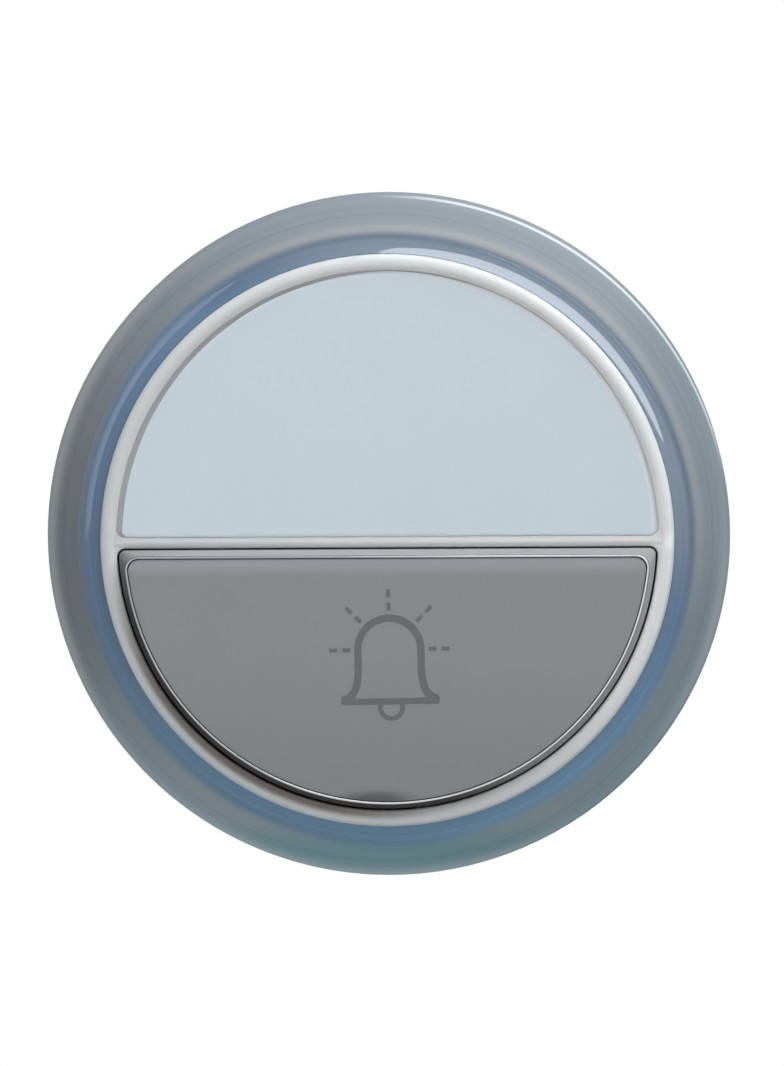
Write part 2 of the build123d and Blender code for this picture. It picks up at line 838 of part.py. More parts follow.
# Crystal in its drawn can
with BuildPart() as crystal_can:
    with BuildSketch(front_plane(board_front)):
        with Locations((crystal_side, chip_rise)):
            SlotOverall(crystal_length + 2 * crystal_rim, crystal_width + 2 * crystal_rim)
    extrude(amount=crystal_rim_height)
    with BuildSketch(front_plane(board_front)):
        with Locations((crystal_side, chip_rise)):
            SlotOverall(crystal_length, crystal_width)
    extrude(amount=crystal_height)
    fillet(crystal_can.faces().sort_by(Axis.Y)[0].edges(), crystal_round)
crystal_can.part.label = "crystal_can"
export_step(crystal_can.part, "parts/crystal_can.step")

# Wire loop antenna standing on two legs
with BuildPart() as loop_antenna:
    antenna_start = 90 + antenna_arc / 2
    antenna_depth = board_front + antenna_rise
    with BuildSketch(radial_section(antenna_start)):
        with Locations((antenna_radius, antenna_depth)):
            Circle(antenna_wire)
    revolve(axis=Axis.Y, revolution_arc=antenna_arc)
    antenna_ends = [on_circle(antenna_radius, angle) for angle in (antenna_start, 180 - antenna_start)]
    with BuildSketch(front_plane(board_front)):
        with Locations(*antenna_ends):
            Circle(antenna_wire)
    extrude(amount=antenna_rise)
    with Locations(*[(x, -antenna_depth, z) for x, z in antenna_ends]):
        Sphere(antenna_wire)
loop_antenna.part.label = "loop_antenna"
export_step(loop_antenna.part, "parts/loop_antenna.step")

# Small resistors and capacitors
with BuildPart() as chip_parts:
    with BuildSketch(front_plane(board_front)):
        with Locations((0, passive_rise)):
            with GridLocations(passive_pitch, passive_pitch, passive_columns, passive_rows):
                Rectangle(passive_length, passive_width)
    extrude(amount=passive_height)
chip_parts.part.label = "chip_parts"
export_step(chip_parts.part, "parts/chip_parts.step")

# Coin cell, its smaller pole towards the board
with BuildPart() as coin_cell:
    cap_radius = cell_radius - cell_cap_inset
    with BuildSketch(side_section(cell_rise)):
        with BuildLine():
            Polyline(
                (0, cell_rear),
                (cell_radius, cell_rear),
                (cell_radius, cell_front - cell_cap_height),
                (cap_radius, cell_front - cell_cap_height),
                (cap_radius, cell_front),
                (0, cell_front),
                close=True,
            )
        make_face()
    revolve(axis=Axis((0, 0, cell_rise), (0, 1, 0)))
    fillet(coin_cell.edges().filter_by(GeomType.CIRCLE).sort_by(Axis.Y)[-1], cell_round)
coin_cell.part.label = "coin_cell"
export_step(coin_cell.part, "parts/coin_cell.step")

# Spring strap over the cell, with a foot on the board at each end
with BuildPart() as cell_clip:
    strap_inner = cell_radius + strap_gap
    strap_outer = strap_inner + clip_sheet
    with BuildSketch(side_section(cell_rise)):
        with BuildLine():
            Polyline(
                (0, clip_rear),
                (strap_outer, clip_rear),
                (strap_outer, board_rear - clip_sheet),
                (strap_outer + strap_foot, board_rear - clip_sheet),
                (strap_outer + strap_foot, board_rear),
                (strap_inner, board_rear),
                (strap_inner, cell_rear),
                (0, cell_rear),
            )
            mirror(about=Plane.YZ)
        make_face()
    extrude(amount=strap_width / 2, both=True)
    fillet(edges_at(cell_clip, clip_rear).filter_by(Axis.Z), clip_sheet / 2)
cell_clip.part.label = "cell_clip"
export_step(cell_clip.part, "parts/cell_clip.step")

# Flat contact between the cell and the board
with BuildPart() as cell_contact:
    with BuildSketch(front_plane(cell_front)):
        with Locations((0, cell_rise)):
            SlotOverall(contact_length, contact_width)
    extrude(amount=contact_sheet)
cell_contact.part.label = "cell_contact"
export_step(cell_contact.part, "parts/cell_contact.step")

# Screws that hold the board to the chassis
with BuildPart() as board_screws:
    head_rear = board_rear - screw_head_height
    cross_length = 2 * (screw_head_radius - screw_head_rim)
    with BuildSketch(front_plane(head_rear)):
        with Locations(*boss_points):
            Circle(screw_head_radius)
    extrude(amount=screw_head_height)
    with BuildSketch(front_plane(board_rear)):
        with Locations(*boss_points):
            Circle(screw_radius)
    extrude(amount=screw_length)
    with BuildSketch(front_plane(head_rear)):
        with Locations(*boss_points):
            Rectangle(cross_length, screw_slot)
            Rectangle(screw_slot, cross_length)
    extrude(amount=screw_head_height / 2, mode=Mode.SUBTRACT)
board_screws.part.label = "board_screws"
export_step(board_screws.part, "parts/board_screws.step")
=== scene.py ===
import json
import math

import bmesh
import bpy
from mathutils import Matrix, Vector

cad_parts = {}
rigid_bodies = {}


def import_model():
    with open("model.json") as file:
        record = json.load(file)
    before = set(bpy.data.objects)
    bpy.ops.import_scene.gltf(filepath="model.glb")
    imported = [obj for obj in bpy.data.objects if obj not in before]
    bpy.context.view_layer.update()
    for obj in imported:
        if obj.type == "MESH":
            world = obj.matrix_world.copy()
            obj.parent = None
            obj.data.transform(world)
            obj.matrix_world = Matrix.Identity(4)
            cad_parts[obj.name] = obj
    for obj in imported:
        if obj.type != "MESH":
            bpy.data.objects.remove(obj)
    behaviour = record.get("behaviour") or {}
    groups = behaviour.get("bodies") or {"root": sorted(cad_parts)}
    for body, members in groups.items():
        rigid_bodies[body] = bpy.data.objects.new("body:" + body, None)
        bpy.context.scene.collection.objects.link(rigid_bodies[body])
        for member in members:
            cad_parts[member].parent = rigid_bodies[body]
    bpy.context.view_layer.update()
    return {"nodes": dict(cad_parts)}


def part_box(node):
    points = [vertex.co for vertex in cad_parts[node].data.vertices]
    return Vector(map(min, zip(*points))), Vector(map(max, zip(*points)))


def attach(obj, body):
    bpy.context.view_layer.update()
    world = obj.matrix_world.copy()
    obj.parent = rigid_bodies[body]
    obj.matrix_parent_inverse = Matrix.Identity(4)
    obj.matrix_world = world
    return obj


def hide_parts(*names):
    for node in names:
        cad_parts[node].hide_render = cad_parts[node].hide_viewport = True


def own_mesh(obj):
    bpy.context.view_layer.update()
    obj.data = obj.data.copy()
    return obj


for leftover in list(bpy.data.objects):  # an empty scene to start from
    bpy.data.objects.remove(leftover, do_unlink=True)

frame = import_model()
cad = frame["nodes"]
mm = 0.001
nodeStep = (220, 240)  # column and row in the node editor
maskColumn = -9
noiseSpan = {"From_Min": 0.3, "From_Max": 0.7}  # where most values of a noise lie
print("frame loaded:", len(cad), "CAD pieces")


def addNode(tree, kind, across=0, down=0, **values):
    node = tree.nodes.new(kind)
    node.location = (across * nodeStep[0], -down * nodeStep[1])
    for name, value in values.items():
        setattr(node, name, value)
    return node


def setInputs(node, **values):
    for name, value in values.items():
        node.inputs[name.replace("_", " ")].default_value = value
    return node


def startGroup(name, inputs, outputs):
    group = bpy.data.node_groups.new(name, "ShaderNodeTree")
    kinds = {"value": "NodeSocketFloat", "colour": "NodeSocketColor", "vector": "NodeSocketVector"}
    for label, kind, value in inputs:
        socket = group.interface.new_socket(label, in_out="INPUT", socket_type=kinds[kind])
        socket.default_value = value
    for label, kind in outputs:
        group.interface.new_socket(label, in_out="OUTPUT", socket_type=kinds[kind])
    return group, addNode(group, "NodeGroupInput", 0), addNode(group, "NodeGroupOutput", 6)


def makeAxisFade():  # 0 to 1 along a direction of the object
    group, given, out = startGroup(
        "axisFade",
        [("Direction", "vector", (0, 0, 1)), ("From", "value", 0.0), ("To", "value", 1.0)],
        [("Mask", "value")],
    )
    place = addNode(group, "ShaderNodeTexCoord", 0, 1)
    along = addNode(group, "ShaderNodeVectorMath", 1, operation="DOT_PRODUCT")
    fade = addNode(group, "ShaderNodeMapRange", 2, interpolation_type="SMOOTHSTEP")
    group.links.new(place.outputs["Object"], along.inputs[0])
    group.links.new(given.outputs["Direction"], along.inputs[1])
    group.links.new(along.outputs["Value"], fade.inputs["Value"])
    group.links.new(given.outputs["From"], fade.inputs["From Min"])
    group.links.new(given.outputs["To"], fade.inputs["From Max"])
    group.links.new(fade.outputs["Result"], out.inputs["Mask"])
    return group


def makeRadialFade():  # 0 to 1 from one radius to another round the push's axis
    group, given, out = startGroup(
        "radialFade",
        [("Inner", "value", 0.0), ("Outer", "value", 1.0)],
        [("Mask", "value"), ("Radius", "value")],
    )
    place = addNode(group, "ShaderNodeTexCoord", 0, 1)
    flat = addNode(group, "ShaderNodeVectorMath", 1, operation="MULTIPLY")
    flat.inputs[1].default_value = (1, 0, 1)
    radius = addNode(group, "ShaderNodeVectorMath", 2, operation="LENGTH")
    fade = addNode(group, "ShaderNodeMapRange", 3, interpolation_type="SMOOTHSTEP")
    group.links.new(place.outputs["Object"], flat.inputs[0])
    group.links.new(flat.outputs[0], radius.inputs[0])
    group.links.new(radius.outputs["Value"], fade.inputs["Value"])
    group.links.new(given.outputs["Inner"], fade.inputs["From Min"])
    group.links.new(given.outputs["Outer"], fade.inputs["From Max"])
    group.links.new(fade.outputs["Result"], out.inputs["Mask"])
    group.links.new(radius.outputs["Value"], out.inputs["Radius"])
    return group


def makeSpotFade():  # 1 at the middle of an oval spot, 0 outside it
    group, given, out = startGroup(
        "spotFade",
        [("Middle", "vector", (0, 0, 0)), ("Reach", "vector", (1, 1, 1))],
        [("Mask", "value")],
    )
    place = addNode(group, "ShaderNodeTexCoord", 0, 1)
    offset = addNode(group, "ShaderNodeVectorMath", 1, operation="SUBTRACT")
    oval = addNode(group, "ShaderNodeVectorMath", 2, operation="DIVIDE")
    away = addNode(group, "ShaderNodeVectorMath", 3, operation="LENGTH")
    fade = addNode(group, "ShaderNodeMapRange", 4, interpolation_type="SMOOTHSTEP")
    setInputs(fade, From_Min=1.0, From_Max=0.2)  # full up to a fifth of the reach
    group.links.new(place.outputs["Object"], offset.inputs[0])
    group.links.new(given.outputs["Middle"], offset.inputs[1])
    group.links.new(offset.outputs[0], oval.inputs[0])
    group.links.new(given.outputs["Reach"], oval.inputs[1])
    group.links.new(oval.outputs[0], away.inputs[0])
    group.links.new(away.outputs["Value"], fade.inputs["Value"])
    group.links.new(fade.outputs["Result"], out.inputs["Mask"])
    return group


def colourAndGloss(group, given, out, noise, across):  # both follow one noise
    tint = addNode(group, "ShaderNodeMix", across, data_type="RGBA")
    gloss = setInputs(addNode(group, "ShaderNodeMapRange", across, 1), **noiseSpan)
    group.links.new(noise, tint.inputs["Factor"])
    group.links.new(given.outputs["Colour"], tint.inputs["A"])
    group.links.new(given.outputs["Deeper"], tint.inputs["B"])
    group.links.new(noise, gloss.inputs["Value"])
    group.links.new(given.outputs["Gloss Low"], gloss.inputs["To Min"])
    group.links.new(given.outputs["Gloss High"], gloss.inputs["To Max"])
    group.links.new(tint.outputs["Result"], out.inputs["Colour"])
    group.links.new(gloss.outputs["Result"], out.inputs["Roughness"])


def makeMouldedGrain():  # moulded skin: cloudy colour, uneven gloss, fine grain
    group, given, out = startGroup(
        "mouldedGrain",
        [
            ("Colour", "colour", (0.5, 0.5, 0.5, 1)),
            ("Deeper", "colour", (0.4, 0.4, 0.4, 1)),
            ("Cloud Scale", "value", 120.0),
            ("Grain Scale", "value", 4000.0),
            ("Gloss Low", "value", 0.3),
            ("Gloss High", "value", 0.4),
        ],
        [("Colour", "colour"), ("Roughness", "value"), ("Height", "value")],
    )
    place = addNode(group, "ShaderNodeTexCoord", 0, 1)
    cloud = setInputs(addNode(group, "ShaderNodeTexNoise", 1), Detail=3.0, Roughness=0.55)
    grain = setInputs(addNode(group, "ShaderNodeTexNoise", 1, 1), Detail=2.0, Roughness=0.6)
    for noise, scale in ((cloud, "Cloud Scale"), (grain, "Grain Scale")):
        group.links.new(place.outputs["Object"], noise.inputs["Vector"])
        group.links.new(given.outputs[scale], noise.inputs["Scale"])
    colourAndGloss(group, given, out, cloud.outputs["Fac"], 3)
    group.links.new(grain.outputs["Fac"], out.inputs["Height"])
    return group


def makeBrushedLines():  # drawn or rolled metal: fine lines along one direction
    group, given, out = startGroup(
        "brushedLines",
        [
            ("Colour", "colour", (0.6, 0.6, 0.6, 1)),
            ("Deeper", "colour", (0.4, 0.4, 0.4, 1)),
            ("Stretch", "vector", (1, 1, 1)),
            ("Gloss Low", "value", 0.25),
            ("Gloss High", "value", 0.45),
        ],
        [("Colour", "colour"), ("Roughness", "value"), ("Height", "value")],
    )
    place = addNode(group, "ShaderNodeTexCoord", 0, 1)
    pull = addNode(group, "ShaderNodeVectorMath", 1, 1, operation="MULTIPLY")
    lines = addNode(group, "ShaderNodeTexNoise", 2, 1)
    setInputs(lines, Scale=1000.0, Detail=4.0, Roughness=0.65)
    group.links.new(place.outputs["Object"], pull.inputs[0])
    group.links.new(given.outputs["Stretch"], pull.inputs[1])
    group.links.new(pull.outputs[0], lines.inputs["Vector"])
    colourAndGloss(group, given, out, lines.outputs["Fac"], 4)
    group.links.new(lines.outputs["Fac"], out.inputs["Height"])
    return group


axisFade = makeAxisFade()
radialFade = makeRadialFade()
spotFade = makeSpotFade()
mouldedGrain = makeMouldedGrain()
brushedLines = makeBrushedLines()
print("shader groups ready")


def newFinish(name):
    finish = bpy.data.materials.new(name)
    finish.use_nodes = True
    return finish, finish.node_tree, finish.node_tree.nodes["Principled BSDF"]


def placeGroup(tree, group, across, down, values):
    node = addNode(tree, "ShaderNodeGroup", across, down, node_tree=group)
    for name, value in values.items():
        node.inputs[name].default_value = value
    return node


def placeMasks(tree, look, **kinds):  # a mask for each of the look's fades that is named
    return {
        name: placeGroup(tree, group, maskColumn, down, look[name]).outputs["Mask"]
        for down, (name, group) in enumerate(kinds.items())
    }


def joinMasks(tree, one, other, across, down, how="MULTIPLY"):
    both = addNode(tree, "ShaderNodeMath", across, down, operation=how, use_clamp=True)
    tree.links.new(one, both.inputs[0])
    tree.links.new(other, both.inputs[1])
    return both.outputs[0]


def remap(tree, value, span, across, down, low=0.0, high=1.0):
    spread = addNode(tree, "ShaderNodeMapRange", across, down)
    setInputs(spread, From_Min=span[0], From_Max=span[1], To_Min=low, To_Max=high)
    tree.links.new(value, spread.inputs["Value"])
    return spread.outputs["Result"]


def objectNoise(tree, scale, detail, across, down):
    place = addNode(tree, "ShaderNodeTexCoord", across - 1, down)
    noise = setInputs(addNode(tree, "ShaderNodeTexNoise", across, down), Scale=scale, Detail=detail)
    tree.links.new(place.outputs["Object"], noise.inputs["Vector"])
    return noise.outputs["Fac"]


def tintOver(tree, under, mask, colour, across, down, how="MIX"):  # a plain colour over a socket
    mix = addNode(tree, "ShaderNodeMix", across, down, data_type="RGBA", blend_type=how)
    mix.inputs["B"].default_value = colour
    tree.links.new(mask, mix.inputs["Factor"])
    tree.links.new(under, mix.inputs["A"])
    return mix.outputs["Result"]


def layOver(tree, under, mask, over, across, down):  # one socket over another
    mix = addNode(tree, "ShaderNodeMix", across, down, data_type="RGBA")
    tree.links.new(mask, mix.inputs["Factor"])
    tree.links.new(under, mix.inputs["A"])
    tree.links.new(over, mix.inputs["B"])
    return mix.outputs["Result"]


def twoTone(tree, mask, one, other, across, down):  # from one plain colour to another
    mix = setInputs(addNode(tree, "ShaderNodeMix", across, down, data_type="RGBA"), A=one, B=other)
    tree.links.new(mask, mix.inputs["Factor"])
    return mix.outputs["Result"]


def bumpFrom(tree, shader, height, depth):
    bump = setInputs(addNode(tree, "ShaderNodeBump", -1, 2), Strength=1.0, Distance=depth)
    tree.links.new(height, bump.inputs["Height"])
    tree.links.new(bump.outputs["Normal"], shader.inputs["Normal"])


def dress(name, finish):
    cad[name].data.materials.clear()
    cad[name].data.materials.append(finish)


def plasticFinish(name, look):
    finish, tree, shader = newFinish(name)
    skin = placeGroup(tree, mouldedGrain, -4, 0, look["skin"])
    tree.links.new(skin.outputs["Colour"], shader.inputs["Base Color"])
    tree.links.new(skin.outputs["Roughness"], shader.inputs["Roughness"])
    bumpFrom(tree, shader, skin.outputs["Height"], look["grainDepth"])
    setInputs(shader, Specular_IOR_Level=look.get("shine", 0.5))
    return finish, tree, shader, skin


def metalFinish(name, look):
    finish, tree, shader = newFinish(name)
    drawn = placeGroup(tree, brushedLines, -4, 0, look["drawn"])
    tree.links.new(drawn.outputs["Colour"], shader.inputs["Base Color"])
    tree.links.new(drawn.outputs["Roughness"], shader.inputs["Roughness"])
    bumpFrom(tree, shader, drawn.outputs["Height"], look["lineDepth"])
    setInputs(shader, Metallic=1.0)
    return finish


# Halo ring: grey milky body with faint lines round it and a blue cove. Painted light on it: a
# lighter band past the crest and a glint on the outer edge at the upper right, a paler rim on the
# lower left and lighter milky, sea green and blue tones lower down for light passing through the
# ring, and painted shade on the cove's upper side and on the right side; only the cove is polished,
# most of all at its upper right
halo = {
    "skin": {
        "Colour": (0.275, 0.308, 0.342, 1),
        "Deeper": (0.25, 0.283, 0.317, 1),
        "Cloud Scale": 90.0,
        "Grain Scale": 2500.0,
        "Gloss Low": 0.25,
        "Gloss High": 0.35,
    },
    "grainDepth": 0.004 * mm,
    "shine": 0.0,
    "coatRoughness": 0.05,
    "coatIor": 2.3,
    "coatEdge": {"Inner": 35.6 * mm, "Outer": 34.9 * mm},
    "upperSide": {"Direction": (0.55, 0, 0.83), "From": 4 * mm, "To": 24 * mm},
    "coatSide": {"Direction": (0.6, 0, 0.8), "From": 10 * mm, "To": 28 * mm},
    "coatThin": 0.22,  # what is left of it on the other side
    "blue": (0.13, 0.225, 0.37, 1),
    # painted shade: the cove is a darker blue on its upper side
    "blueDeep": (0.09, 0.165, 0.26, 1),
    # painted glow: the cove is a lighter blue lower down
    "blueLow": (0.165, 0.325, 0.50, 1),
    "blueEdge": {"Inner": 36.4 * mm, "Outer": 34.9 * mm},
    # painted highlight: a lighter band just past the crest on the upper side
    "bloom": (0.34, 0.355, 0.37, 1),
    "bloomEdge": {"Inner": 37.3 * mm, "Outer": 36.2 * mm},
    # painted glow: lighter milky and sea green tones lower down stand for light passing through the
    # ring
    "milk": (0.318, 0.39, 0.435, 1),
    "milkFade": {"Direction": (0, 0, -1), "From": 6 * mm, "To": 29 * mm},
    "seaGreen": (0.205, 0.355, 0.40, 1),
    "seaGreenFade": {"Direction": (0, 0, -1), "From": 32.5 * mm, "To": 36.5 * mm},
    # painted glow: the rim is paler towards the lower left, dimmer and bluer low down, for light
    # passing through the ring
    "pale": (0.53, 0.545, 0.57, 1),
    "paleLow": (0.344, 0.443, 0.494, 1),
    "paleEdge": {"Inner": 38.2 * mm, "Outer": 39.6 * mm},
    "paleSide": {"Direction": (-0.42, 0, -0.91), "From": -32 * mm, "To": 12 * mm},
    # painted shade: the right side of the ring is darkened
    "dusk": (0.82, 0.86, 0.88, 1),
    "duskSide": {"Direction": (0.985, 0, -0.174), "From": 16 * mm, "To": 33 * mm},
    "streak": (0.80, 0.85, 0.88, 1),
    "streakScale": 2600.0,  # lines in a metre of radius
    "streakDetail": 2.0,
    "streakSpan": (0.45, 0.7),
    "streakDepth": 0.45,
    # painted highlight: a thin glint along the outer edge at the upper right
    "glint": (0.64, 0.66, 0.67, 1),
    "glintInner": {"Inner": 39.62 * mm, "Outer": 39.74 * mm},
    "glintOuter": {"Inner": 39.98 * mm, "Outer": 39.9 * mm},
    "glintSide": {"Direction": (0.64, 0, 0.77), "From": 29 * mm, "To": 36 * mm},
}


def finishHalo():
    finish, tree, shader, skin = plasticFinish("haloSmoke", halo)
    masks = placeMasks(
        tree,
        halo,
        coatEdge=radialFade,
        upperSide=axisFade,
        coatSide=axisFade,
        blueEdge=radialFade,
        bloomEdge=radialFade,
        milkFade=axisFade,
        seaGreenFade=axisFade,
        paleEdge=radialFade,
        paleSide=axisFade,
        duskSide=axisFade,
        glintInner=radialFade,
        glintOuter=radialFade,
        glintSide=axisFade,
    )
    # painted highlight past the crest, on the upper side only
    bloom = joinMasks(tree, masks["bloomEdge"], masks["upperSide"], -8, 3)
    # painted glow on the rim towards the lower left
    rim = joinMasks(tree, masks["paleEdge"], masks["paleSide"], -8, 6)
    # painted glint: a thin line on the outer edge, upper right only
    glint = joinMasks(tree, masks["glintInner"], masks["glintOuter"], -8, 8)
    glint = joinMasks(tree, glint, masks["glintSide"], -7, 8)
    colour = tintOver(tree, skin.outputs["Colour"], bloom, halo["bloom"], -7, 1)
    # painted glow lower down, for light passing through the ring
    colour = tintOver(tree, colour, masks["milkFade"], halo["milk"], -6, 1)
    colour = tintOver(tree, colour, masks["seaGreenFade"], halo["seaGreen"], -5, 1)
    pale = twoTone(tree, masks["milkFade"], halo["pale"], halo["paleLow"], -5, 2)
    colour = layOver(tree, colour, rim, pale, -4, 1)
    colour = tintOver(tree, colour, glint, halo["glint"], -3, 1)
    # painted shade on the cove's upper side, painted glow lower down
    cove = twoTone(tree, masks["upperSide"], halo["blue"], halo["blueDeep"], -7, 4)
    cove = tintOver(tree, cove, masks["milkFade"], halo["blueLow"], -6, 4)
    colour = layOver(tree, colour, masks["blueEdge"], cove, -2, 1)
    # painted shade over the right side
    colour = tintOver(tree, colour, masks["duskSide"], halo["dusk"], -1, 1, "MULTIPLY")
    rings = placeGroup(tree, radialFade, maskColumn, 13, {})  # only for its radius
    lines = addNode(tree, "ShaderNodeTexNoise", -8, 13, noise_dimensions="1D")
    setInputs(lines, Scale=halo["streakScale"], Detail=halo["streakDetail"])
    tree.links.new(rings.outputs["Radius"], lines.inputs["W"])
    fine = remap(tree, lines.outputs["Fac"], halo["streakSpan"], -7, 13, high=halo["streakDepth"])
    colour = tintOver(tree, colour, fine, halo["streak"], 0, 1, "MULTIPLY")
    tree.links.new(colour, shader.inputs["Base Color"])
    thin = remap(tree, masks["coatSide"], (0, 1), -3, 5, low=halo["coatThin"])
    polish = joinMasks(tree, masks["coatEdge"], thin, -2, 5)
    tree.links.new(polish, shader.inputs["Coat Weight"])
    setInputs(shader, Coat_Roughness=halo["coatRoughness"], Coat_IOR=halo["coatIor"])
    dress("halo_ring", finish)


finishHalo()

# Bezel: milky white moulding with a soft gloss. Painted light and shade on it: a darker, bluish
# outer edge, darker still low down, a lighter bar and a lighter inner edge on the right, and a
# brownish painted shadow of the push in the groove low on the left
bezel = {
    "skin": {
        "Colour": (0.75, 0.775, 0.785, 1),
        "Deeper": (0.73, 0.755, 0.765, 1),
        "Cloud Scale": 70.0,
        "Grain Scale": 3000.0,
        "Gloss Low": 0.22,
        "Gloss High": 0.30,
    },
    "grainDepth": 0.003 * mm,
    "shine": 0.25,
    "milky": 0.9,
    "milkyDepth": 1.2 * mm,
    "milkyReach": (1, 1, 1),  # alike for red, green and blue
    # painted shade and painted blue light from the ring: the outer edge is darker and bluish
    "rim": (0.50, 0.55, 0.59, 1),
    "rimEdge": {"Inner": 32.9 * mm, "Outer": 33.65 * mm},
    # painted shade: the outer edge is darker still low down
    "rimLow": (0.42, 0.47, 0.51, 1),
    "rimLowEdge": {"Inner": 32.85 * mm, "Outer": 33.5 * mm},
    "rimLowSide": {"Direction": (0.3, 0, -0.95), "From": 2 * mm, "To": 16 * mm},
    # painted light: the inner edge is lighter on the upper right
    "clean": (0.96, 0.97, 0.975, 1),
    "cleanEdge": {"Inner": 32.7 * mm, "Outer": 31.7 * mm},
    "cleanSide": {"Direction": (0.85, 0, 0.53), "From": -4 * mm, "To": 18 * mm},
    # painted light: the bar is lighter towards the right
    "bar": (0.88, 0.905, 0.92, 1),
    "barSpot": {
        "Middle": (24 * mm, -16.3 * mm, -0.1 * mm),
        "Reach": (60 * mm, 3 * mm, 1.6 * mm),
    },
    # painted shadow of the push in the groove low on the left, given a brownish tone
    "grime": (0.36, 0.335, 0.315, 1),
    "grimeEdge": {"Inner": 32.7 * mm, "Outer": 32.0 * mm},
    "grimeSide": {"Direction": (-0.574, 0, -0.819), "From": 22 * mm, "To": 31 * mm},
}


def finishBezel():
    finish, tree, shader, skin = plasticFinish("bezelWhite", bezel)
    masks = placeMasks(
        tree,
        bezel,
        rimEdge=radialFade,
        rimLowEdge=radialFade,
        rimLowSide=axisFade,
        cleanEdge=radialFade,
        cleanSide=axisFade,
        barSpot=spotFade,
        grimeEdge=radialFade,
        grimeSide=axisFade,
    )
    rimLow = joinMasks(tree, masks["rimLowEdge"], masks["rimLowSide"], -8, 1)
    clean = joinMasks(tree, masks["cleanEdge"], masks["cleanSide"], -8, 3)
    grime = joinMasks(tree, masks["grimeEdge"], masks["grimeSide"], -8, 6)
    # painted light on the bar
    colour = tintOver(tree, skin.outputs["Colour"], masks["barSpot"], bezel["bar"], -6, 1)
    # painted light on the inner edge, upper right
    colour = tintOver(tree, colour, clean, bezel["clean"], -5, 1)
    # painted shade on the outer edge, deepest low down
    colour = tintOver(tree, colour, masks["rimEdge"], bezel["rim"], -4, 1)
    colour = tintOver(tree, colour, rimLow, bezel["rimLow"], -3, 1)
    # painted shadow of the push, low on the left
    colour = tintOver(tree, colour, grime, bezel["grime"], -2, 1)
    tree.links.new(colour, shader.inputs["Base Color"])
    setInputs(shader, Subsurface_Weight=bezel["milky"], Subsurface_Scale=bezel["milkyDepth"])
    setInputs(shader, Subsurface_Radius=bezel["milkyReach"])
    dress("front_bezel", finish)


finishBezel()

# Window: clear, with a faint uneven haze
window = {
    "tint": (0.97, 0.985, 1.0, 1),
    "ior": 1.49,
    "hazeScale": 60.0,
    "hazeDetail": 4.0,
    "hazeSpan": (0.35, 0.75),
    "hazeLow": 0.01,
    "hazeHigh": 0.04,
}


def finishWindow():
    finish, tree, shader = newFinish("windowClear")
    wipe = objectNoise(tree, window["hazeScale"], window["hazeDetail"], -3, 0)
    haze = remap(tree, wipe, window["hazeSpan"], -2, 0, window["hazeLow"], window["hazeHigh"])
    tree.links.new(haze, shader.inputs["Roughness"])
    setInputs(shader, Base_Color=window["tint"], IOR=window["ior"], Transmission_Weight=1.0)
    dress("label_window", finish)


finishWindow()

# Name card: smooth pale blue board with a faint fibre, and a painted highlight making its edge
# whiter
card = {
    "skin": {
        "Colour": (0.67, 0.75, 0.80, 1),
        "Deeper": (0.63, 0.715, 0.77, 1),
        "Cloud Scale": 45.0,
        "Grain Scale": 1800.0,
        "Gloss Low": 0.55,
        "Gloss High": 0.7,
    },
    "grainDepth": 0.004 * mm,
    # painted highlight: a whiter band along the card's edge, where the window's rounded edge
    # catches light
    "border": (0.90, 0.93, 0.95, 1),
    "borderEdge": {"Inner": 30.7 * mm, "Outer": 31.2 * mm},
}


def finishCard():
    finish, tree, shader, skin = plasticFinish("cardBlue", card)
    masks = placeMasks(tree, card, borderEdge=radialFade)
    # painted highlight along the edge
    colour = tintOver(tree, skin.outputs["Colour"], masks["borderEdge"], card["border"], -2, 1)
    tree.links.new(colour, shader.inputs["Base Color"])
    dress("name_label", finish)


finishCard()

# Push: satin grey with painted shade low on the left, and a thin polished bead round the face with
# painted shade along its foot, duller in worn patches and, as painted shade, on its upper left
push = {
    "skin": {
        "Colour": (0.33, 0.34, 0.345, 1),
        "Deeper": (0.30, 0.31, 0.315, 1),
        "Cloud Scale": 80.0,
        "Grain Scale": 2600.0,
        "Gloss Low": 0.35,
        "Gloss High": 0.45,
    },
    "grainDepth": 0.003 * mm,
    "shine": 0.0,
    "bead": (0.62, 0.65, 0.67, 1),
    "beadTop": {"Direction": (0, -1, 0), "From": 17.525 * mm, "To": 17.55 * mm},
    "beadFoot": {"Direction": (0, -1, 0), "From": 17.38 * mm, "To": 17.42 * mm},
    # painted shade: the border is darkened low on the left
    "grime": (0.075, 0.07, 0.068, 1),
    "grimeSide": {"Direction": (-0.5, 0, -0.866), "From": 12 * mm, "To": 24 * mm},
    # painted shade: a dark line along the foot of the bead
    "line": (0.06, 0.065, 0.07, 1),
    # duller bead: worn patches from noise, and painted shade on its upper left
    "dull": (0.26, 0.29, 0.32, 1),
    "dullScale": 90.0,
    "dullDetail": 2.0,
    "dullSpan": (0.4, 1.2),
    "dullSide": {"Direction": (-0.85, 0, 0.53), "From": -18 * mm, "To": 22 * mm},
    "beadRoughness": (0.15, 0.15, 0.15, 1),
}


